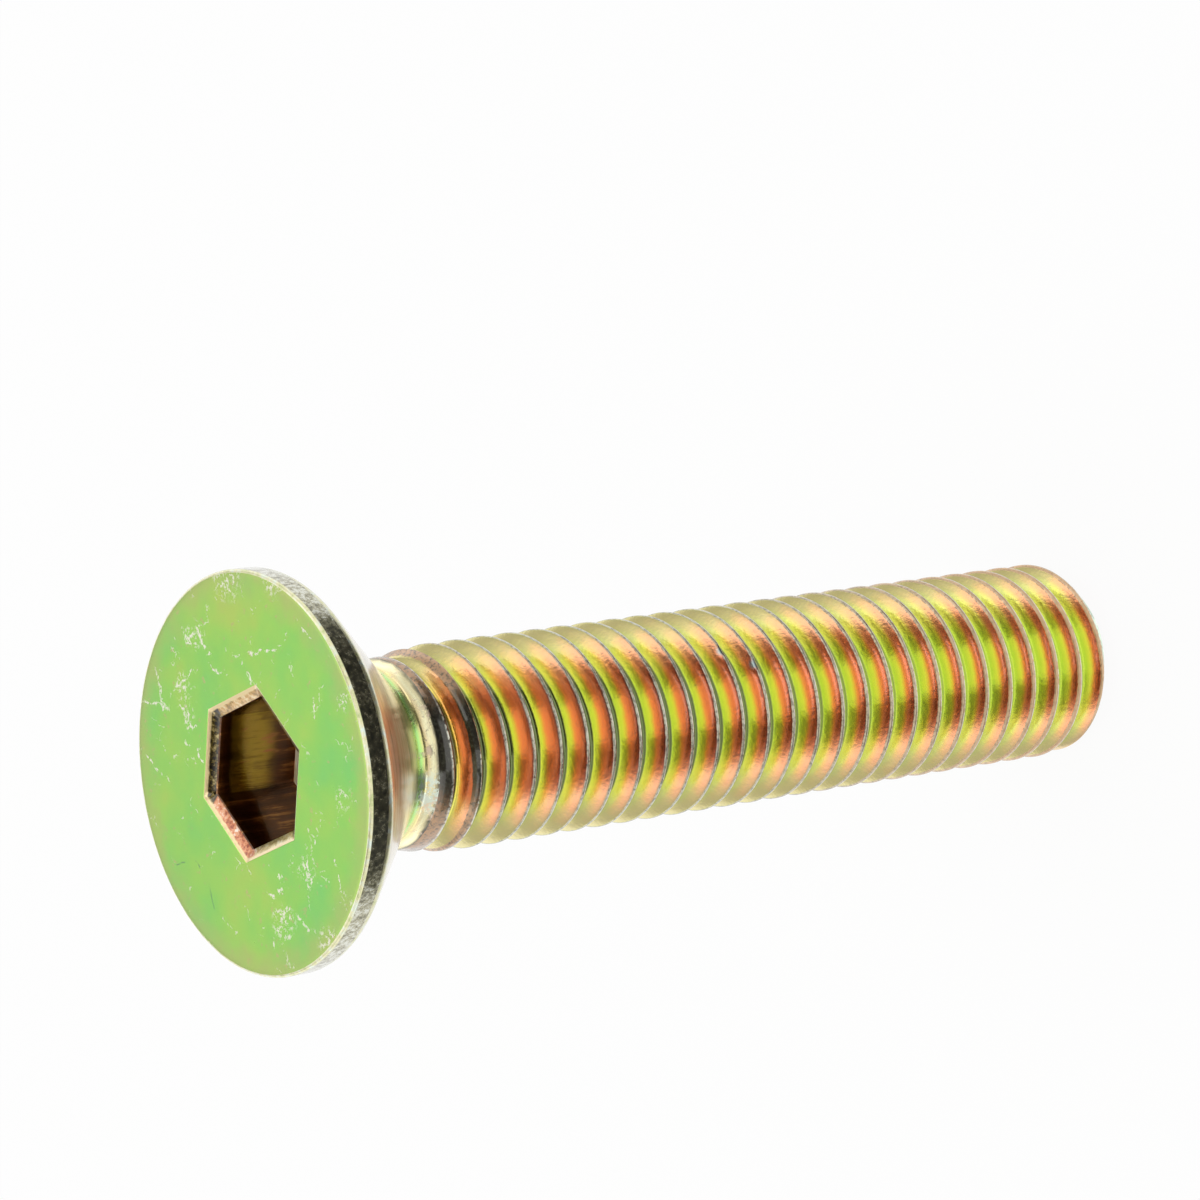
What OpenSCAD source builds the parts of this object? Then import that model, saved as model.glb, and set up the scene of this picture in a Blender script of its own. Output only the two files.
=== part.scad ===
// Countersunk socket screw, M8 x 40: cold formed, then thread rolled, all in one piece.
// The origin is the middle of the head's flat face. The shank runs down from it to a flat tip.

/* [Head] */
// Diameter of the flat face
head_d = 15; // [12:0.1:18]
// Height of the straight rim under the face
rim_h = 0.95; // [0.5:0.05:1.5]
// Included angle of the seat under the head
seat_angle = 90; // [80:1:100]
// Radius that breaks the edge between the face and the rim
face_edge_r = 0.12; // [0.05:0.01:0.2]
// Radius that breaks the edge between the rim and the seat
seat_edge_r = 0.15; // [0.05:0.01:0.3]

/* [Socket] */
// Distance across the flats
socket_af = 5; // [4:0.1:6]
// Depth of the flats, from the face
socket_depth = 3.7; // [2.5:0.1:4.2]
// Depth of the shallow cone in the socket's floor
socket_cone_h = 0.45; // [0.1:0.05:0.6]
// Width of the bevel round the socket's mouth
mouth_bevel_w = 0.4; // [0.1:0.05:0.6]
// Depth of the bevel round the socket's mouth
mouth_bevel_h = 0.3; // [0.1:0.05:0.6]

/* [Shank] */
// Length of the whole screw, from the face to the tip
length = 39.5; // [20:0.5:60]
// Diameter of the plain neck under the seat
neck_d = 6.6; // [6:0.1:6.8]
// Length of the neck, from the seat to the slope below it
neck_l = 0.35; // [0.3:0.05:2]
// Length of the slope from the neck out to the first crest
shoulder_l = 0.4; // [0.2:0.05:1]
// Radius of the hollow between the seat and the neck
neck_fillet_r = 0.4; // [0.1:0.05:0.5]
// Radius of the hollow between the neck and the slope
shoulder_fillet_r = 0.2; // [0.1:0.05:0.3]
// Diameter of the flat tip
tip_d = 6.4; // [5.5:0.1:7]
// Length of the bevel round the tip
tip_bevel_l = 0.7; // [0.3:0.05:1.5]

/* [Thread] */
// Diameter over the full crests
thread_d = 7.8; // [7.6:0.05:8]
// Distance from one crest to the next
pitch = 1.25; // [1.15:0.05:1.5]
// Depth from the full crests to the roots
thread_depth = 0.76; // [0.6:0.01:0.8]
// Width of the flat on the full crests
crest_w = 0.16; // [0.1:0.01:0.25]
// Included angle between the flanks
flank_angle = 60; // [55:1:65]
// Diameter over the first crest, which the rolling left unfilled
first_crest_d = 7.2; // [7:0.1:7.5]
// Length over which the crests grow to their full diameter
crest_growth_l = 2.7; // [1:0.1:5]
// Angle round the axis where the groove starts
groove_start_angle = 180; // [0:5:360]
// Turns over which the groove grows to its full depth
runout_turns = 0.55; // [0.3:0.05:1]

/* [Hidden] */
$fn = 96;
steps_per_turn = 28;
arc_steps = 4;
past_face = 1;

head_r = head_d / 2;
neck_r = neck_d / 2;
first_crest_r = first_crest_d / 2;
thread_r = thread_d / 2;
root_r = thread_r - thread_depth;

seat_z = -rim_h - (head_r - neck_r) / tan(seat_angle / 2);
shoulder_z = seat_z - neck_l;
first_crest_z = shoulder_z - shoulder_l;
full_crest_z = first_crest_z - crest_growth_l;

// The groove's tool stands a little proud of the crests, by less than would make two turns meet.
proud = crest_w / 4 / tan(flank_angle / 2);
crest_half_gap = (pitch - crest_w) / 2;
root_half_w = (crest_half_gap - thread_depth * tan(flank_angle / 2)) / (1 - tan(flank_angle / 2) / 2);
root_rise = root_half_w / 2;

function unit(v) = v / norm(v);

// Points of the arc that rounds corner p, between its neighbours a and b, with radius r.
// Its first and last point lie on the two straight sides, so that a flat face stays flat.
function rounded(a, p, b, r) =
    let (
        u = unit(a - p),
        v = unit(b - p),
        half = acos(u * v) / 2,
        cut_back = r / tan(half),
        centre = p + unit(u + v) * r / sin(half),
        middle = atan2(p[1] - centre[1], p[0] - centre[0]),
        swing = sign(u[1] * v[0] - u[0] * v[1]) * (90 - half)
    )
    [
        p + u * cut_back,
        for (i = [1:arc_steps - 1])
            let (t = middle + swing * (2 * i / arc_steps - 1)) centre + r * [cos(t), sin(t)],
        p + v * cut_back
    ];

// Outline with each corner given as [x, y, radius].
function outline(corners) =
    let (n = len(corners), at = [for (c = corners) [c[0], c[1]]])
    [for (i = [0:n - 1]) each corners[i][2] > 0
        ? rounded(at[(i + n - 1) % n], at[i], at[(i + 1) % n], corners[i][2])
        : [at[i]]];

// The turned shape before its thread: half section from the face down to the tip.
module blank() {
    rotate_extrude() polygon(outline([
        [0, 0, 0],
        [head_r, 0, face_edge_r],
        [head_r, -rim_h, seat_edge_r],
        [neck_r, seat_z, neck_fillet_r],
        [neck_r, shoulder_z, shoulder_fillet_r],
        [first_crest_r, first_crest_z, 0],
        [thread_r, full_crest_z, 0],
        [thread_r, tip_bevel_l - length, 0],
        [tip_d / 2, -length, 0],
        [0, -length, 0]
    ]));
}

module socket() {
    corner = 1 / cos(30);
    flat_r = socket_af / 2;
    spread = mouth_bevel_w / mouth_bevel_h;
    rotate(30) {
        translate([0, 0, -socket_depth])
            cylinder(h = socket_depth + past_face, r = flat_r * corner, $fn = 6);
        translate([0, 0, -mouth_bevel_h])
            cylinder(h = mouth_bevel_h + past_face, r1 = flat_r * corner,
                     r2 = (flat_r + spread * (mouth_bevel_h + past_face)) * corner, $fn = 6);
    }
    translate([0, 0, -socket_depth - socket_cone_h])
        cylinder(h = socket_cone_h, r1 = 0, r2 = flat_r);
}

// Section of the groove at a root radius, as [radius, height from the groove's middle].
function groove_section(root) =
    let (
        flank_foot = root + root_rise,
        flank_half_w = root_half_w + (thread_r + proud - flank_foot) * tan(flank_angle / 2)
    )
    [
        [thread_r + proud, flank_half_w],
        [flank_foot, root_half_w],
        [root, 0],
        [flank_foot, -root_half_w],
        [thread_r + proud, -flank_half_w]
    ];

// One right-hand helix, swept from the first crest to past the tip.
module groove() {
    turns = (length + first_crest_z) / pitch + 1;
    steps = ceil(turns * steps_per_turn);
    rings = [for (i = [0:steps])
        let (
            turn = i / steps_per_turn,
            grown = min(1, turn / runout_turns),
            angle = groove_start_angle - 360 * turn,
            middle_z = first_crest_z - turn * pitch
        )
        [for (p = groove_section(first_crest_r + (root_r - first_crest_r) * grown))
            [p[0] * cos(angle), p[0] * sin(angle), middle_z + p[1]]]];
    sides = len(rings[0]);
    walls = [for (i = [0:steps - 1], k = [0:sides - 1])
        let (a = i * sides + k, b = i * sides + (k + 1) % sides)
        each [[a, a + sides, b], [b, a + sides, b + sides]]];
    start_cap = [for (k = [0:sides - 1]) k];
    end_cap = [for (k = [sides - 1:-1:0]) steps * sides + k];
    polyhedron([for (ring = rings) each ring], concat(walls, [start_cap, end_cap]), convexity = 10);
}

module screw() color("yellowgreen") difference() {
    blank();
    socket();
    groove();
}

screw();
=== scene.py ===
"""A countersunk socket screw: zinc plated steel under a yellow chromate film."""

import math

import bmesh
import bpy
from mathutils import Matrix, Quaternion, Vector


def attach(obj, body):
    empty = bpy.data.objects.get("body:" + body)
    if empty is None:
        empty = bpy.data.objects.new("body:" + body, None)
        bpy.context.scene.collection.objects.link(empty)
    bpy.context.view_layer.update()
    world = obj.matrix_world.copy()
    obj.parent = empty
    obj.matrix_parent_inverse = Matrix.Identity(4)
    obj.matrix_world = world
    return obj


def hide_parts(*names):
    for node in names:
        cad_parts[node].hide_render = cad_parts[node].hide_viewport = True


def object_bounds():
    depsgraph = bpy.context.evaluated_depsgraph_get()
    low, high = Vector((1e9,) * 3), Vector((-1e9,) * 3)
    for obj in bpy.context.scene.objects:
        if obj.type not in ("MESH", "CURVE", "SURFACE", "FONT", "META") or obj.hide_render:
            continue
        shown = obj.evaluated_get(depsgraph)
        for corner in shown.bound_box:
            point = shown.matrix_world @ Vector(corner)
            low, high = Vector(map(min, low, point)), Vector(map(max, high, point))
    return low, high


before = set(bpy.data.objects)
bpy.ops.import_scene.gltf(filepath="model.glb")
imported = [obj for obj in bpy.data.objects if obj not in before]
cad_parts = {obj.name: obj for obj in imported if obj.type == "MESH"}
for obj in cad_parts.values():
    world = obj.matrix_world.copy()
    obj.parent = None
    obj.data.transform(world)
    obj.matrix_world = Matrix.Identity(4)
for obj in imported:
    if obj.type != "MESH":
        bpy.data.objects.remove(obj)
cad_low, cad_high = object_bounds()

MM = 0.001

# The blank, from the face down
head_r = cad_high[0]
tip_z = cad_low[2]
rim_h = 0.95 * MM
face_edge_r = 0.12 * MM
seat_edge_r = 0.4 * MM
neck_r = 3.3 * MM
neck_end_z = -5.5 * MM
neck_fillet_r = 0.4 * MM
shoulder_fillet_r = 0.2 * MM
first_crest_r = 3.6 * MM
first_ring_z = -5.9 * MM
thread_r = 3.9 * MM
full_crest_z = -8.6 * MM
tip_r = 3.2 * MM

# The thread's groove
pitch = 1.25 * MM
root_r = 3.14 * MM
crest_w = 0.12 * MM
flank_slope = math.tan(math.radians(30))
root_angle = math.radians(60)
groove_start_z = first_ring_z
groove_start_angle = math.radians(180)
runout_turns = 0.55
# Turned towards the camera: the painted highlight and painted reflection of the films are laid out from
# this angle
painted_sheen_angle = math.radians(-102)
edge_soft = 0.05 * MM
edge_row = 0.022 * MM

# The socket
socket_af = 5 * MM
socket_depth = 3.7 * MM
socket_cone_h = 0.45 * MM
mouth_bevel_w = 0.4 * MM
mouth_bevel_h = 0.3 * MM

# The deeper scratches on the face, each a line through places given in millimetres
face_scratches = [
    [(4.4, 5.7), (3.9, 4.6), (3.7, 4.0), (3.3, 3.2), (2.9, 3.3), (2.5, 2.5)],
    [(5.3, 4.4), (3.8, 4.6)],
    [(5.7, 2.0), (5.7, 1.3), (4.7, 0.8)],
    [(4.3, 3.4), (4.2, 2.5), (4.8, 2.1)],
    [(4.4, 0.9), (3.8, -0.1)],
    [(4.4, -0.8), (4.2, -1.8), (3.7, -3.5)],
    [(4.1, -1.4), (3.1, -1.4)],
    [(1.6, -5.0), (0.8, -4.8)],
    [(2.4, 6.5), (1.1, 5.4)],
    [(2.3, 3.7), (1.3, 2.9)],
    [(-3.3, -2.9), (-3.9, -2.2), (-4.8, -1.7)],
    [(-6.1, 1.2), (-5.1, -0.2), (-6.2, -1.1)],
    [(-3.9, -0.2), (-4.5, -0.5), (-4.4, 0.9)],
    [(-4.2, -3.7), (-5.2, -3.7)],
    [(4.4, -5.2), (3.6, -5.7)],
    [(-4.6, 5.8), (-5.2, 5.0)],
]
face_hairline = [(-1.9, 6.3), (-2.0, 5.0), (-3.0, 4.4), (-4.0, 4.5)]

# Scuffed patches of the face, as (x, y, radius), and the middle of a bruise on the neck, in millimetres
face_scuffs = [
    (5.6, 1.4, 0.7),
    (0.9, -7, 0.6),
    (4.1, 3, 0.7),
    (-5.6, 0.2, 0.9),
    (-4.3, -2, 0.7),
    (7, -1.6, 1.1),
    (6.2, -4.4, 1),
    (-7, -2.2, 0.9),
    (-2.3, -5.3, 0.6),
    (3, 3.1, 0.6),
]
neck_bruise = (-2.2, -2.7, -5.6)

# Nicks in the crests, by angle in degrees and height in millimetres
nicks = [(-68, -19.9), (-79, -21.1), (-121, -8.3), (34, -13.4), (118, -27.7), (75, -33.9)]
nick_r = 0.3 * MM
nick_depth = 0.07 * MM

# Steps of the meshes
around = 120
arc_steps = 4
face_rows = [7.2 * MM, 6.6 * MM, 6 * MM, 5.4 * MM, 4.8 * MM, 4.2 * MM, 3.7 * MM]
seat_row_at_neck = 0.8 * MM
seat_row_at_rim = 0.4 * MM
shoulder_step = 0.05 * MM
least_gap = 0.004 * MM
merge_gap = 0.0002 * MM

# The film on a flank of the thread: share of the way from its crest to its root, then the colour
head_side_flank = [
    (0.03, 140, 64, 40),
    (0.12, 232, 116, 66),
    (0.36, 250, 134, 70),
    (0.48, 252, 162, 62),
    (0.56, 234, 200, 52),
    (0.66, 226, 232, 60),
    (0.9, 190, 222, 56),
]
tip_side_flank = [
    (0.03, 150, 100, 50),
    (0.12, 250, 226, 170),
    (0.4, 250, 244, 186),
    (0.9, 222, 240, 130),
]

# The camera looks down at the face, turned on its side as in the photograph
camera_at = Vector((-29.18, -161.9, 108.77)) * MM
camera_aim = Vector((4.567, -0.958, -16.879)) * MM
camera_roll = math.radians(-97.32)
camera_lens = 162.1

# Brightness of the studio by the height of the direction: horizon, wall lamps, gap, lamp overhead
studio_tones = [
    (0, 0.8),
    (0.18, 0.8),
    (0.32, 0.38),
    (0.48, 0.38),
    (0.56, 0.5),
    (0.65, 0.56),
    (0.72, 0.84),
    (0.8, 0.94),
    (0.85, 0.75),
    (0.875, 0.05),
    (0.95, 0.03),
    (0.965, 1),
    (1, 1),
]
studio_strength = 1.8
unlit_share = 0.75

# The floor: its width in metres, and the share of its white that no shadow dims
floor_across = 2
floor_glow = 0.92

# Dark cards that only the metal shows: name, shade, both angles in degrees, then both borders as
# (radius, height)
on_floor_z = tip_z + 0.2 * MM
cards = [
    ("rim_card", 0.15, (-124, -50), (12 * MM, -8.5 * MM), (12 * MM, -1.5 * MM)),
    ("left_card", 0.16, (-175, -128), (12 * MM, on_floor_z), (130 * MM, on_floor_z)),
    ("right_card", 0.14, (-71, -15), (12 * MM, on_floor_z), (130 * MM, on_floor_z)),
]

# Worked out: where the blank's stretches end, and the corners of the socket's mouth
seat_end_z = -rim_h - (head_r - neck_r)
above_groove_z = neck_end_z + 0.3 * MM
tip_bevel_z = tip_z + thread_r - tip_r
mouth_corner_r = (socket_af / 2 + mouth_bevel_w) / math.cos(math.radians(30))

# Worked out: the round of the groove's root meets both flanks at its ends
groove_depth = thread_r - root_r
root_round = ((pitch - crest_w) / 2 - groove_depth * flank_slope) / (
    math.sin(root_angle) - (1 - math.cos(root_angle)) * flank_slope
)
root_half_w = root_round * math.sin(root_angle)
root_rise = root_round * (1 - math.cos(root_angle))


def on_round(radius, angle, z):
    """The place at a distance from the axis, an angle round it and a height."""
    return Vector((radius * math.cos(angle), radius * math.sin(angle), z))


def groove_middle(turn):
    return groove_start_z - pitch * turn


def groove_root(turn):
    """Radius of the root, which sinks from the first crest to its full depth over the run-out."""
    grown = min(1, turn / runout_turns)
    return first_crest_r + (root_r - first_crest_r) * grown


def blank_radius(z):
    """Radius over the crests: low at the first ring, then full, then cut by the tip's bevel."""
    grown = min(1, max(0, (first_ring_z - z) / (first_ring_z - full_crest_z)))
    crest = first_crest_r + (thread_r - first_crest_r) * (1 - (1 - grown) ** 1.5)
    return min(crest, tip_r + z - tip_z)


def groove_radius(turn, z):
    away = abs(z - groove_middle(turn))
    if away < root_half_w:
        return groove_root(turn) + root_round - math.sqrt(root_round**2 - away**2)
    return groove_root(turn) + root_rise + (away - root_half_w) / flank_slope


def soft_least(a, b):
    """The lesser of two radii, rounded where they meet."""
    near = max(0, edge_soft - abs(a - b)) / edge_soft
    return min(a, b) - near**2 * edge_soft / 4


def surface_radius(part_turn, z, blank):
    """Radius of the finished screw at a height and at an angle, given as part of a turn."""
    nearest = max(0, round((groove_start_z - z) / pitch - part_turn))
    return soft_least(blank, groove_radius(nearest + part_turn, z))


def edge_distance(turn, side):
    """Height from the groove's middle to its edge on the crest above or below, closed in on in steps."""
    away = pitch / 2
    for _ in range(6):
        over_foot = blank_radius(groove_middle(turn) + side * away) - groove_root(turn) - root_rise
        away = root_half_w + over_foot * flank_slope
    return max(0, away)


def border(turn):
    """Height of the line along the crests between a turn of the groove and the next one."""
    if turn <= 0:
        return first_ring_z
    first_full = groove_middle(1.5)
    if turn < 1:
        return first_ring_z + (first_full - first_ring_z) * turn
    return groove_middle(turn + 0.5)


def half_rows(turn, side):
    """Distances of the mesh's rows from the groove's middle, from its upper or lower edge inwards."""
    edge = edge_distance(turn, side)
    flank = edge - edge_row - root_half_w
    rows = [
        edge + edge_row,
        edge,
        edge - edge_row,
        root_half_w + flank * 0.75,
        root_half_w + flank * 0.5,
        root_half_w + flank * 0.25,
        root_half_w,
        root_half_w * 0.67,
        root_half_w * 0.33,
    ]
    return [min(away, edge + edge_row) for away in rows]


def thread_rows(turn):
    """Heights of one column of the thread, from one border line along the crests to the next.

    All lie between the first ring and the tip, and rows that come too close join each other.
    """
    middle = groove_middle(turn)
    top = max(tip_z, border(turn - 1))
    bottom = max(tip_z, border(turn))
    rows = [middle + away for away in half_rows(turn, 1)] + [middle]
    rows += [middle - away for away in half_rows(turn, -1)[::-1]]
    heights = [top]
    for z in rows:
        z = min(heights[-1], max(bottom, z))
        if z - bottom < least_gap:
            z = bottom
        if heights[-1] - z < least_gap:
            z = heights[-1]
        heights.append(z)
    return heights + [bottom]


def select_none():
    bpy.ops.object.select_all(action="DESELECT")


def draw_line(name, points):
    """An open line through the points, drawn by extruding one vertex after another."""
    select_none()
    bpy.ops.mesh.primitive_plane_add(size=MM, location=points[0])
    piece = bpy.context.object
    piece.name = name
    bpy.ops.object.transform_apply(location=True)
    bpy.ops.object.mode_set(mode="EDIT")
    bpy.ops.mesh.select_all(action="SELECT")
    bpy.ops.mesh.merge(type="CENTER")
    for before, after in zip(points, points[1:]):
        step = Vector(after) - Vector(before)
        bpy.ops.mesh.extrude_region_move(TRANSFORM_OT_translate={"value": step})
    bpy.ops.object.mode_set(mode="OBJECT")
    return piece


def roll_thread():
    """The thread: one pitch of its section is swept along the helix, then run out at both ends."""
    turns = math.ceil((groove_start_z - tip_z) / pitch + 0.5)
    sample_turn = 4
    rows = [(z, surface_radius(0, z, blank_radius(z))) for z in thread_rows(sample_turn)]
    points = [(-radius, 0, z) for z, radius in rows]
    piece = draw_line("screw_thread", points)
    from_top = sorted(range(len(rows)), key=lambda i: -piece.data.vertices[i].co.z)
    sweep = piece.modifiers.new("sweep", "SCREW")
    sweep.screw_offset = -pitch
    sweep.iterations = turns
    sweep.angle = -math.tau
    sweep.steps = around
    sweep.render_steps = around
    sweep.use_merge_vertices = False
    bpy.ops.object.modifier_apply(modifier=sweep.name)
    vertices = piece.data.vertices
    for step in range(turns * around + 1):
        turn = step / around
        angle = groove_start_angle - math.tau * turn
        for row, z in enumerate(thread_rows(turn)):
            radius = surface_radius(turn % 1, z, blank_radius(z))
            vertices[step * len(rows) + from_top[row]].co = on_round(radius, angle, z)
    return piece


def rounded(before, corner, after, radius):
    """Points of the arc that rounds a corner of the outline."""
    before, corner, after = Vector(before), Vector(corner), Vector(after)
    u = (before - corner).normalized()
    v = (after - corner).normalized()
    half = math.acos(u.dot(v)) / 2
    centre = corner + (u + v).normalized() * radius / math.sin(half)
    middle = math.atan2(corner.y - centre.y, corner.x - centre.x)
    swing = math.copysign(math.pi / 2 - half, v.cross(u))
    angles = [middle + swing * (2 * i / arc_steps - 1) for i in range(arc_steps + 1)]
    return [(centre.x + radius * math.cos(a), centre.y + radius * math.sin(a)) for a in angles]


def head_outline():
    """Half section of the head from the first crest up to the face, as (radius, height)."""
    seat_top = (head_r, -rim_h)
    neck_top = (neck_r, seat_end_z)
    neck_end = (neck_r, neck_end_z)
    first_ring = (first_crest_r, first_ring_z)
    face_edge = (head_r, 0)
    points = [first_ring]
    points += rounded(first_ring, neck_end, neck_top, shoulder_fillet_r)
    points += rounded(neck_end, neck_top, seat_top, neck_fillet_r)
    points += [(neck_r + seat_row_at_neck, seat_end_z + seat_row_at_neck)]
    points += [(head_r - seat_row_at_rim, -rim_h - seat_row_at_rim)]
    points += rounded(neck_top, seat_top, face_edge, seat_edge_r)
    points += [(head_r, -rim_h * 0.7), (head_r, -rim_h * 0.3)]
    points += rounded(seat_top, face_edge, (0, 0), face_edge_r)
    return points + [(radius, 0) for radius in face_rows]


def close_steps(points, step):
    """The same outline with more points below the neck, where the groove cuts into it."""
    finer = [points[0]]
    for (r0, z0), (r1, z1) in zip(points, points[1:]):
        parts = max(1, math.ceil((z1 - z0) / step)) if z0 < above_groove_z else 1
        finer += [(r0 + (r1 - r0) * i / parts, z0 + (z1 - z0) * i / parts) for i in range(1, parts + 1)]
    return finer


def raise_ring(from_radius, to_radius, up):
    """Extrudes the selected ring along the axis and scales it about the axis."""
    scale = to_radius / from_radius
    bpy.ops.mesh.extrude_region_move(TRANSFORM_OT_translate={"value": (0, 0, up)})
    bpy.ops.transform.resize(value=(scale, scale, 1), center_override=(0, 0, 0))


def hexagon_ring(mesh, flat_r):
    """Moves the selected ring's vertices out to a hexagon, with two of its flats square to X."""
    for vertex in bmesh.from_edit_mesh(mesh).verts:
        if vertex.select:
            angle = math.atan2(vertex.co.y, vertex.co.x)
            off_flat = (angle + math.pi / 6) % (math.pi / 3) - math.pi / 6
            radius = flat_r / math.cos(off_flat)
            vertex.co.x = radius * math.cos(angle)
            vertex.co.y = radius * math.sin(angle)
    bmesh.update_edit_mesh(mesh)


def round_ring(mesh, radius):
    for vertex in bmesh.from_edit_mesh(mesh).verts:
        if vertex.select:
            vertex.co.xy = vertex.co.xy.normalized() * radius
    bmesh.update_edit_mesh(mesh)


def socket_rings():
    """Rings of the socket from its mouth down, as (distance to the flats, height)."""
    flat_r = socket_af / 2
    mouth_r = flat_r + mouth_bevel_w
    return [
        (mouth_r + 0.08 * MM, 0),
        (mouth_r + 0.03 * MM, 0),
        (mouth_r - 0.02 * MM, -0.03 * MM),
        (flat_r + 0.03 * MM, 0.04 * MM - mouth_bevel_h),
        (flat_r, -0.02 * MM - mouth_bevel_h),
        (flat_r, -socket_depth / 2),
        (flat_r, 0.04 * MM - socket_depth),
        (flat_r - 0.03 * MM, -socket_depth),
    ]


def sink_socket(mesh):
    """The socket, sunk ring by ring from the selected edge of the face, with its shallow cone."""
    z = 0
    for flat_r, next_z in socket_rings():
        bpy.ops.mesh.extrude_region_move(TRANSFORM_OT_translate={"value": (0, 0, next_z - z)})
        hexagon_ring(mesh, flat_r)
        z = next_z
    floor_r = socket_af / 2 * 0.98
    bpy.ops.mesh.extrude_region_move()
    round_ring(mesh, floor_r)
    raise_ring(floor_r, floor_r / 2, -socket_cone_h / 2)
    raise_ring(floor_r / 2, floor_r / 50, -socket_cone_h / 2)
    bpy.ops.mesh.merge(type="CENTER")


def cut_runout(mesh):
    """The start of the groove, where it reaches into the slope under the neck."""
    for vertex in mesh.vertices:
        if vertex.co.z < above_groove_z:
            angle = math.atan2(vertex.co.y, vertex.co.x)
            part_turn = (groove_start_angle - angle) / math.tau % 1
            blank = vertex.co.xy.length
            vertex.co.xy *= surface_radius(part_turn, vertex.co.z, blank) / blank


def forge_head():
    """The neck, seat, rim and face, raised ring by ring, and the socket sunk in the face."""
    points = close_steps(head_outline(), shoulder_step)
    radius, z = points[0]
    select_none()
    bpy.ops.mesh.primitive_circle_add(vertices=around, radius=radius, location=(0, 0, z))
    piece = bpy.context.object
    piece.name = "screw"
    bpy.ops.object.transform_apply(location=True)
    bpy.ops.object.mode_set(mode="EDIT")
    bpy.ops.mesh.select_all(action="SELECT")
    for next_radius, next_z in points[1:]:
        raise_ring(radius, next_radius, next_z - z)
        radius, z = next_radius, next_z
    sink_socket(piece.data)
    bpy.ops.object.mode_set(mode="OBJECT")
    cut_runout(piece.data)
    return piece


def nick_places():
    return [on_round(thread_r, math.radians(angle), z * MM) for angle, z in nicks]


def nick_crests(mesh):
    """Small dents where the crests were struck."""
    places = nick_places()
    for vertex in mesh.vertices:
        for nick in places:
            away = (vertex.co - nick).length / nick_r
            if away < 1:
                sink = nick_depth * (1 - away**2) ** 2
                vertex.co.xy *= 1 - sink / vertex.co.xy.length


def close_tip(mesh):
    """The flat end, closed by rings that shrink to the axis."""
    bpy.ops.mesh.select_all(action="DESELECT")
    for edge in bmesh.from_edit_mesh(mesh).edges:
        if edge.is_boundary and edge.verts[0].co.z < tip_z + least_gap:
            edge.select_set(True)
    bmesh.update_edit_mesh(mesh)
    for scale in (0.9, 0.5, 0.1):
        bpy.ops.mesh.extrude_region_move()
        bpy.ops.transform.resize(value=(scale, scale, 1), center_override=(0, 0, 0))
    bpy.ops.mesh.merge(type="CENTER")


def make_screw():
    """One closed mesh: the head and the thread, joined at the first ring, and the tip's end."""
    thread = roll_thread()
    screw = forge_head()
    select_none()
    thread.select_set(True)
    screw.select_set(True)
    bpy.context.view_layer.objects.active = screw
    bpy.ops.object.join()
    bpy.ops.object.mode_set(mode="EDIT")
    bpy.ops.mesh.select_all(action="SELECT")
    bpy.ops.mesh.remove_doubles(threshold=merge_gap)
    close_tip(screw.data)
    bpy.ops.mesh.select_all(action="SELECT")
    bpy.ops.mesh.normals_make_consistent(inside=False)
    bpy.ops.object.mode_set(mode="OBJECT")
    nick_crests(screw.data)
    bpy.ops.object.shade_smooth_by_angle(angle=math.radians(38))
    return screw


class Value:
    """A socket of a shader: arithmetic on it adds Math nodes, and method node adds any other."""

    def __init__(self, socket):
        self.socket = socket

    def node(self, kind, settings, inputs, output=0):
        tree = self.socket.id_data
        node = tree.nodes.new(kind)
        for name, setting in settings.items():
            if name == "stops":
                fill_ramp(node.color_ramp.elements, setting)
            else:
                setattr(node, name, setting)
        for name, given in inputs.items():
            if isinstance(given, Value):
                tree.links.new(given.socket, node.inputs[name])
            else:
                node.inputs[name].default_value = given
        return Value(node.outputs[output])

    def math(self, operation, *others):
        return self.node("ShaderNodeMath", {"operation": operation}, dict(enumerate((self, *others))))

    def __add__(self, other):
        return self.math("ADD", other)

    def __sub__(self, other):
        return self.math("SUBTRACT", other)

    def __rsub__(self, other):
        return self.node("ShaderNodeMath", {"operation": "SUBTRACT"}, {0: other, 1: self})

    def __mul__(self, other):
        return self.math("MULTIPLY", other)

    def __truediv__(self, other):
        return self.math("DIVIDE", other)

    __radd__ = __add__
    __rmul__ = __mul__


def tone(red, green, blue):
    """A colour as it shows on a screen, from 0 to 255, as the light that the shader works with."""
    return (*((level / 255) ** 2.2 for level in (red, green, blue)), 1)


def fill_ramp(elements, stops):
    while len(elements) < len(stops):
        elements.new(1)
    for element, (position, colour) in zip(elements, stops):
        element.position = position
        element.color = colour


def noise(place, scale, detail=3, roughness=0.55):
    inputs = {"Vector": place, "Scale": scale, "Detail": detail, "Roughness": roughness}
    return place.node("ShaderNodeTexNoise", {}, inputs)


def rise(value, start, end):
    """From 0 to 1 as the value goes from start to end."""
    inputs = {"Value": value, "From Min": start, "From Max": end}
    return value.node("ShaderNodeMapRange", {"interpolation_type": "SMOOTHSTEP"}, inputs)


def fall(value, start, end):
    """From 1 to 0 as the value goes from start to end."""
    return 1 - rise(value, start, end)


def blend(factor, first, second):
    return factor.node("ShaderNodeMix", {"data_type": "RGBA"}, {0: factor, 6: first, 7: second}, 2)


def ramp(value, stops):
    """A colour for each value, from stops that each give a value and then a colour as in tone."""
    stops = [(at, tone(*colour)) for at, *colour in stops]
    return value.node("ShaderNodeValToRGB", {"stops": stops}, {0: value})


def stretched(place, scale):
    """The place with its axes scaled, so that a pattern on it is drawn out."""
    return place.node("ShaderNodeMapping", {}, {"Vector": place, "Scale": scale})


def vector_math(place, operation, other):
    return place.node("ShaderNodeVectorMath", {"operation": operation}, {0: place, 1: other})


def reach_along(place, direction):
    """How far the place lies along a direction."""
    settings = {"operation": "DOT_PRODUCT"}
    return place.node("ShaderNodeVectorMath", settings, {0: place, 1: direction}, 1)


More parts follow.
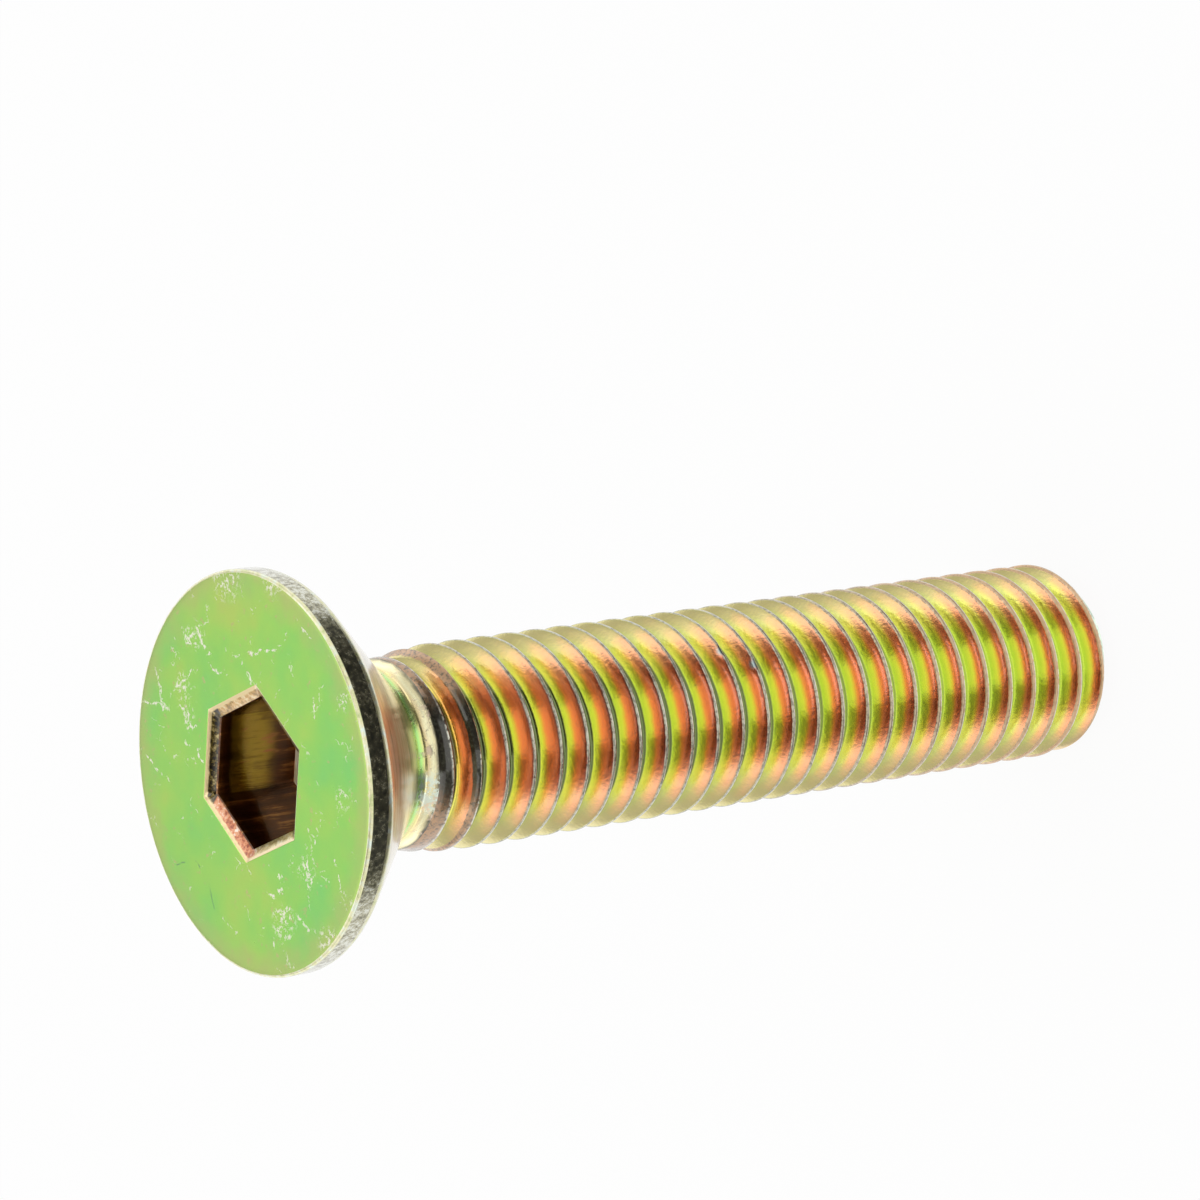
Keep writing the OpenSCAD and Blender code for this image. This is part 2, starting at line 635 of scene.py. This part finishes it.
def distance(place, point):
    return place.node("ShaderNodeVectorMath", {"operation": "DISTANCE"}, {0: place, 1: point}, 1)


def warped(place, scale, reach):
    """The place pushed about by noise, so that straight lines on it wander."""
    push = place.node("ShaderNodeTexNoise", {}, {"Vector": place, "Scale": scale, "Detail": 2}, 1)
    push = vector_math(push, "SUBTRACT", (0.5, 0.5, 0.5))
    push = push.node("ShaderNodeVectorMath", {"operation": "SCALE"}, {0: push, "Scale": reach})
    return vector_math(place, "ADD", push)


def line_distance(place, start, end):
    """Distance from the place to a straight line between two points of the face."""
    start, end = Vector((*start, 0)), Vector((*end, 0))
    span = end - start
    along = vector_math(place, "SUBTRACT", start)
    settings = {"operation": "MULTIPLY", "use_clamp": True}
    inputs = {0: reach_along(along, span), 1: 1 / span.length_squared}
    share = place.node("ShaderNodeMath", settings, inputs)
    reach = share.node("ShaderNodeVectorMath", {"operation": "SCALE"}, {0: span, "Scale": share})
    return distance(along, reach)


def path_distance(place, paths):
    nearest = None
    for path in paths:
        for start, end in zip(path, path[1:]):
            away = line_distance(place, start, end)
            nearest = away.math("MINIMUM", nearest) if nearest else away
    return nearest


def scratches(place):
    """The face's scratches: drawn lines that wander and break up, and small scuffed patches."""
    wandering = warped(place, 1.3, 0.9)
    away = path_distance(warped(wandering, 6, 0.25), face_scratches)
    broken = rise(noise(place, 7, 2, 0.7), 0.4, 0.52)
    lines = fall(away, 0.03, 0.09) * broken
    inputs = {"Vector": warped(place, 2, 0.7), "Scale": 0.7}
    cells = place.node("ShaderNodeTexVoronoi", {"feature": "DISTANCE_TO_EDGE"}, inputs)
    patches = rise(noise(place, 0.9), 0.54, 0.58) * rise(noise(place, 6, 1), 0.46, 0.58)
    cracks = fall(cells, 0, 0.025) * patches
    specks = rise(noise(place, 5, 3, 0.7), 0.52, 0.6)
    marks = lines.math("MAXIMUM", cracks * 0.7)
    for x, y, size in face_scuffs:
        away = distance(wandering, (x, y, 0))
        marks = marks.math("MAXIMUM", fall(away, size * 0.4, size) * specks * 0.9)
    return marks


def new_film(name):
    """A material of bare metal, its shader, and the place on the piece in millimetres."""
    material = bpy.data.materials.new(name)
    material.use_nodes = True
    shader = material.node_tree.nodes["Principled BSDF"]
    shader.inputs["Metallic"].default_value = 1
    shader.inputs["Coat Weight"].default_value = 1
    shader.inputs["Coat Roughness"].default_value = 0.12
    shader.inputs["Coat IOR"].default_value = 1.7
    where = material.node_tree.nodes.new("ShaderNodeTexCoord")
    place = stretched(Value(where.outputs["Object"]), (1000, 1000, 1000))
    return material, shader, place


def finish_film(shader, colour, roughness, height, depth):
    """Links a film's colour, its roughness, and a relief whose full height is given in millimetres."""
    links = shader.id_data.links
    links.new(colour.socket, shader.inputs["Base Color"])
    links.new(roughness.socket, shader.inputs["Roughness"])
    inputs = {"Height": height, "Distance": depth * MM, "Strength": 1.0}
    links.new(height.node("ShaderNodeBump", {}, inputs).socket, shader.inputs["Normal"])


def height_of(place):
    return place.node("ShaderNodeSeparateXYZ", {}, {0: place}, 2)


def across_of(place):
    """Distance from the axis."""
    flat = stretched(place, (1, 1, 0))
    return place.node("ShaderNodeVectorMath", {"operation": "LENGTH"}, {0: flat}, 1)


def face_film():
    material, shader, place = new_film("face_film")
    clouds = noise(place, 0.24, 3)
    colour = ramp(
        clouds,
        [
            (0.32, 116, 208, 84),
            (0.46, 136, 211, 68),
            (0.58, 154, 212, 64),
            (0.72, 174, 206, 66),
        ],
    )
    towards_edge = rise(across_of(place) + noise(place, 0.7) * 2.4, 7.1, 9.0)
    colour = blend(towards_edge * 0.8, colour, tone(176, 188, 92))
    stains = rise(noise(place, 2.1, 5, 0.7), 0.6, 0.68)
    colour = blend(stains * 0.55, colour, tone(200, 172, 118))
    marks = scratches(place)
    colour = blend(marks, colour, tone(238, 234, 216))
    hairline = fall(path_distance(warped(place, 0.8, 0.5), [face_hairline]), 0.02, 0.05)
    colour = blend(hairline * 0.6, colour, tone(70, 130, 80))
    roughness = 0.2 + noise(place, 3) * 0.1 + marks * 0.25
    finish_film(shader, colour, roughness, noise(place, 1.2), 0.004)
    return material


def painted_sheen_side_of(place, across):
    """0 on the side towards the camera and on the far side, up to 1 half way between them: the mask for
    painted highlight and painted reflection.
    """
    reach = reach_along(place, on_round(1, painted_sheen_angle - math.radians(90), 0))
    return reach.math("ABSOLUTE") / across + (noise(place, 0.8) - 0.5) * 0.25


def rim_film():
    material, shader, place = new_film("rim_film")
    mottle = noise(place, 4.5, 5, 0.72)
    patches = noise(place, 0.5, 2)
    # The rim lightens towards the sides seen edge-on: this mask is painted reflection, not wear
    worn = rise(painted_sheen_side_of(place, across_of(place)), 0.45, 0.8)
    colour = ramp(
        mottle * 0.75 + patches * 0.15 + worn * 0.11,
        [
            (0.34, 60, 62, 44),
            (0.46, 104, 102, 76),
            (0.54, 176, 172, 140),
            (0.62, 226, 228, 212),
        ],
    )
    finish_film(shader, colour, 0.2 + mottle * 0.12, mottle, 0.016)
    return material


def edge_film():
    """The rounded edges, where the film is rubbed thin."""
    material, shader, place = new_film("edge_film")
    worn = noise(place, 2.2, 4, 0.7)
    colour = ramp(worn, [(0.35, 196, 206, 140), (0.5, 232, 226, 180), (0.68, 226, 240, 226)])
    finish_film(shader, colour, 0.25 + worn * 0.15, worn, 0.01)
    return material


def seat_film():
    material, shader, place = new_film("seat_film")
    turned = noise(stretched(place, (0.35, 0.35, 4)), 1.1, 5, 0.7)
    colour = ramp(
        turned,
        [
            (0.34, 146, 148, 106),
            (0.46, 214, 192, 140),
            (0.56, 234, 214, 168),
            (0.68, 220, 232, 184),
        ],
    )
    finish_film(shader, colour, 0.25 + turned * 0.15, turned, 0.02)
    return material


def neck_film():
    """Green in the hollow under the seat, then cream, with a dark line where the thread begins."""
    material, shader, place = new_film("neck_film")
    clouds = noise(stretched(place, (1, 1, 2.5)), 0.9, 4)
    height = height_of(place) + (clouds - 0.5) * 0.3
    colour = ramp(
        rise(height, -5.95, -4.75),
        [
            (0.0, 40, 36, 24),
            (0.05, 240, 228, 176),
            (0.12, 252, 246, 196),
            (0.26, 238, 214, 156),
            (0.4, 244, 242, 148),
            (0.58, 184, 250, 130),
            (0.84, 172, 222, 116),
            (1.0, 200, 180, 126),
        ],
    )
    rubbed = rise(noise(place, 1.1, 5, 0.7), 0.54, 0.64)
    colour = blend(rubbed * 0.7, colour, tone(240, 212, 186))
    away = distance(warped(place, 1.5, 0.8), neck_bruise)
    bruise = fall(away, 0.5, 1.1) * rise(noise(place, 4, 4, 0.7), 0.42, 0.54)
    colour = blend(bruise * 0.85, colour, tone(226, 240, 222))
    finish_film(shader, colour, 0.2 + clouds * 0.1 + rubbed * 0.15, clouds + rubbed * 0.5, 0.02)
    return material


def thread_film(name, flank):
    """Silver on the crests, then the colours of the flank down to the root, with painted shade in the
    roots and near the neck, and painted highlight and reflection towards the sides seen edge-on.
    """
    material, shader, place = new_film(name)
    height = height_of(place)
    across = across_of(place)
    growth = fall(height, full_crest_z / MM, first_ring_z / MM)
    crest = first_crest_r / MM + growth * ((thread_r - first_crest_r) / MM)
    depth = (crest - across) / (groove_depth / MM)
    drift = (noise(place, 0.35, 2) - 0.5) * 0.24 + (noise(place, 3, 2) - 0.5) * 0.1
    towards_tip = fall(height, -38, -18)
    unfilled = rise(height, -17, -8) * 0.14
    shade = depth + (drift + towards_tip * 0.1 - unfilled) * rise(depth, 0.1, 0.5)
    colour = ramp(shade, flank)
    # Painted highlight, peach on the flanks and pale yellow-green in the roots, then painted reflection
    # in khaki, both towards the sides seen edge-on
    painted_sheen_side = painted_sheen_side_of(place, across)
    pale = ramp(depth, [(0.24, 244, 198, 142), (0.6, 222, 226, 104)])
    colour = blend(rise(painted_sheen_side, 0.42, 0.72) * 0.55, colour, pale)
    colour = blend(rise(painted_sheen_side, 0.72, 0.96) * 0.8, colour, tone(190, 192, 114))
    # Painted shade: the bottom of the root turns dark green, fading out towards the tip
    painted_root_shade = rise(depth + drift * 0.3, 0.86, 0.95) * (1 - towards_tip)
    colour = blend(painted_root_shade * 0.85, colour, tone(36, 48, 18))
    specks = rise(noise(place, 7, 3, 0.7), 0.47, 0.62)
    # Painted reflection on the lands near the neck: dark in the middle, tan towards the sides seen
    # edge-on
    land_with_painted_sheen = blend(rise(painted_sheen_side, 0.3, 0.75), tone(58, 54, 42), tone(184, 144, 106))
    land = blend(fall(height, -9, -7.6), land_with_painted_sheen, tone(188, 186, 162))
    # Towards the tip the lands turn pinkish tan and the crests' band is made wider: partly the crests'
    # own colour, partly a painted highlight
    land = blend(towards_tip, land, tone(208, 170, 128))
    land = blend(specks * (0.7 - towards_tip * 0.5), land, tone(84, 86, 70))
    near_neck = rise(height, -8.4, -7.2)
    facing = height_of(place.node("ShaderNodeNewGeometry", {}, {}, 1))
    # Painted shade near the neck, dark on the lands and on the flanks that face the tip
    painted_neck_shade = fall(facing, 0.1, 0.5) * rise(facing, -0.85, -0.6) * near_neck
    colour = blend(painted_neck_shade * 0.9, colour, tone(40, 42, 20))
    ragged = (noise(place, 4, 3, 0.7) - 0.5) * 0.1
    crests = fall(depth + ragged - towards_tip * 0.1 - near_neck * 0.14, 0, 0.05)
    colour = blend(crests, colour, land)
    lower_edge = fall(facing, -0.1, -0.02) * fall(depth, 0.03, 0.06)
    colour = blend(lower_edge * rise(noise(place, 5, 2), 0.36, 0.5), colour, tone(232, 232, 212))
    # The tip's bevel is tan, and its last edge pale mint, a painted glow
    colour = blend(fall(height, -39, -38.7), colour, tone(214, 182, 146))
    colour = blend(fall(height, -39.4, -39.15), colour, tone(216, 238, 216))
    for nick in nick_places():
        colour = blend(fall(distance(place, nick / MM), 0.08, 0.3), colour, tone(158, 176, 172))
    grain = noise(place, 6, 3)
    finish_film(shader, colour, 0.17 + grain * 0.08 + crests * 0.08, grain + specks * crests, 0.01)
    return material


def side_of(place, turn):
    """1 on the side of the hexagon that faces this many degrees round the axis."""
    reach = reach_along(place, on_round(1, math.radians(turn), 0))
    flat_r = socket_af / 2 / MM
    return rise(reach, flat_r - 0.12, flat_r - 0.04)


def socket_film():
    """Burnished by the punch, with streaks along the axis."""
    material, shader, place = new_film("socket_film")
    pressed = noise(stretched(place, (1, 1, 0.1)), 3, 4, 0.7)
    clouds = noise(place, 0.6, 3)
    streaks = pressed * 0.65 + clouds * 0.35
    dark = ramp(
        streaks,
        [(0.42, 84, 50, 20), (0.53, 116, 72, 28), (0.6, 206, 150, 84)],
    )
    gold = ramp(
        streaks,
        [
            (0.38, 150, 126, 30),
            (0.47, 206, 182, 62),
            (0.54, 214, 186, 70),
            (0.6, 226, 140, 96),
        ],
    )
    height = height_of(place) + (clouds - 0.5) * 0.4
    burnished = fall(height, -0.95, -0.75) * rise(height, -3, -2.2)
    colour = blend(side_of(place, 60) * burnished, dark, gold)
    finish_film(shader, colour, 0.16 + pressed * 0.14, pressed, 0.03)
    return material


def socket_floor_film():
    material, shader, place = new_film("socket_floor_film")
    dull = noise(place, 2, 3)
    colour = ramp(dull, [(0.4, 226, 210, 166), (0.6, 244, 236, 214)])
    shader.inputs["Metallic"].default_value = 0
    finish_film(shader, colour, 0.3 + dull * 0.2, dull, 0.01)
    return material


def mouth_film():
    """The bevel round the socket: cream at its outer edge, copper, gold or dark on its sides."""
    material, shader, place = new_film("mouth_film")
    worn = noise(place, 4, 4, 0.72)
    pale = ramp(worn, [(0.38, 176, 160, 96), (0.5, 222, 214, 140), (0.64, 240, 240, 220)])
    copper = ramp(
        worn,
        [
            (0.38, 150, 74, 44),
            (0.46, 204, 122, 78),
            (0.56, 224, 160, 118),
            (0.64, 250, 236, 218),
        ],
    )
    gold = ramp(worn, [(0.38, 150, 116, 50), (0.5, 216, 170, 96), (0.64, 236, 218, 170)])
    dark = ramp(worn, [(0.42, 34, 28, 12), (0.54, 92, 78, 34), (0.66, 190, 170, 110)])
    colour = blend(side_of(place, 120), pale, copper)
    colour = blend(side_of(place, 0), colour, gold)
    colour = blend(side_of(place, 60), colour, dark)
    outer = rise(height_of(place) + (worn - 0.5) * 0.06, -0.1, -0.06)
    colour = blend(outer, colour, tone(240, 214, 158))
    finish_film(shader, colour, 0.22 + worn * 0.2, worn, 0.02)
    return material


def zone(centre, normal):
    """Which film a face of the screw has, by the place of its middle and by its direction."""
    across = centre.xy.length
    if centre.z < first_ring_z + 0.01 * MM:
        faces_tip = normal.z < -0.3 and centre.z > tip_bevel_z + 0.1 * MM
        return "thread_tip_side" if faces_tip else "thread"
    if centre.z < seat_end_z + 0.1 * MM:
        return "neck"
    if across < head_r - face_edge_r * 1.05 and centre.z > -0.0005 * MM:
        return "face"
    if across < mouth_corner_r:
        if centre.z > 0.02 * MM - mouth_bevel_h:
            return "mouth"
        return "socket" if centre.z > 0.02 * MM - socket_depth else "socket_floor"
    if centre.z > -face_edge_r or abs(centre.z + rim_h) < seat_edge_r * 0.4:
        return "edge"
    return "rim" if centre.z > -rim_h else "seat"


def dress(screw):
    """Gives each face of the screw the film of its zone."""
    films = {
        "face": face_film(),
        "rim": rim_film(),
        "edge": edge_film(),
        "seat": seat_film(),
        "neck": neck_film(),
        "thread": thread_film("thread_film", head_side_flank),
        "thread_tip_side": thread_film("thread_tip_side_film", tip_side_flank),
        "socket": socket_film(),
        "mouth": mouth_film(),
        "socket_floor": socket_floor_film(),
    }
    screw.data.materials.clear()
    for film in films.values():
        screw.data.materials.append(film)
    order = list(films)
    for face in screw.data.polygons:
        face.material_index = order.index(zone(face.center, face.normal))


def set_camera():
    data = bpy.data.cameras.new("camera")
    data.sensor_width = 36
    data.lens = camera_lens
    data.clip_start = 0.001
    camera = bpy.data.objects.new("camera", data)
    bpy.context.collection.objects.link(camera)
    look = (camera_aim - camera_at).to_track_quat("-Z", "Y")
    camera.location = camera_at
    camera.rotation_mode = "QUATERNION"
    camera.rotation_quaternion = look @ Quaternion((0, 0, 1), camera_roll)
    bpy.context.scene.camera = camera


def set_studio():
    """A soft studio: lamps all round the walls and one overhead, in part unlit towards -X."""
    world = bpy.data.worlds.new("studio")
    bpy.context.scene.world = world
    world.use_nodes = True
    tree = world.node_tree
    direction = Value(tree.nodes.new("ShaderNodeTexCoord").outputs["Generated"])
    height = height_of(direction)
    stops = [(at, (grey, grey, grey, 1)) for at, grey in studio_tones]
    level = height.node("ShaderNodeValToRGB", {"stops": stops}, {0: height})
    sideways = direction.node("ShaderNodeSeparateXYZ", {}, {0: direction}, 0)
    unlit = rise(height, 0.74, 0.82) * fall(sideways, -0.44, -0.24) * unlit_share
    strength = (1 - unlit) * studio_strength
    light = direction.node("ShaderNodeBackground", {}, {"Color": level, "Strength": strength})
    tree.links.new(light.socket, tree.nodes["World Output"].inputs["Surface"])


def stage_plane(name, size, middle):
    select_none()
    bpy.ops.mesh.primitive_plane_add(size=size, location=middle)
    plane = bpy.context.object
    plane.name = name
    bpy.ops.object.transform_apply(location=True, rotation=True, scale=True)
    return plane


def lay_floor():
    """A white floor that keeps a faint shadow of the screw."""
    floor = stage_plane("floor", floor_across, (0, 0, tip_z))
    material = bpy.data.materials.new("floor")
    material.use_nodes = True
    tree = material.node_tree
    path = tree.nodes.new("ShaderNodeLightPath")
    seen = Value(path.outputs["Is Camera Ray"])
    seen = seen.math("MAXIMUM", Value(path.outputs["Is Glossy Ray"]))
    seen = seen.math("MAXIMUM", Value(path.outputs["Is Transmission Ray"]))
    lit = seen.node("ShaderNodeBsdfDiffuse", {}, {"Color": (0.9, 0.9, 0.9, 1)})
    white = seen.node("ShaderNodeEmission", {}, {"Color": (1, 1, 1, 1), "Strength": 1.0})
    shown = seen.node("ShaderNodeMixShader", {}, {0: seen * floor_glow, 1: lit, 2: white})
    tree.links.new(shown.socket, tree.nodes["Material Output"].inputs["Surface"])
    floor.data.materials.append(material)


def hang_card(name, shade, turns, from_border, to_border):
    """A card bent round the screw between two angles, from one radius and height to another."""
    card = stage_plane(name, 2, (0, 0, 0))
    select_none()
    card.select_set(True)
    bpy.ops.object.mode_set(mode="EDIT")
    bpy.ops.mesh.select_all(action="SELECT")
    bpy.ops.mesh.subdivide(number_cuts=23)
    bpy.ops.object.mode_set(mode="OBJECT")
    from_border = Vector(from_border)
    for vertex in card.data.vertices:
        angle = math.radians(turns[0] + (turns[1] - turns[0]) * (vertex.co.x + 1) / 2)
        radius, z = from_border.lerp(to_border, (vertex.co.y + 1) / 2)
        vertex.co = on_round(radius, angle, z)
    material = bpy.data.materials.new(name)
    material.use_nodes = True
    shader = material.node_tree.nodes["Principled BSDF"]
    shader.inputs["Base Color"].default_value = (shade, shade, shade, 1)
    shader.inputs["Roughness"].default_value = 0.9
    card.data.materials.append(material)
    card.visible_camera = False
    card.visible_diffuse = False
    card.visible_shadow = False


set_camera()
set_studio()
lay_floor()
for card in cards:
    hang_card(*card)
screw = make_screw()
dress(screw)
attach(screw, "root")
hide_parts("screw")
bpy.context.scene.view_settings.view_transform = "Standard"
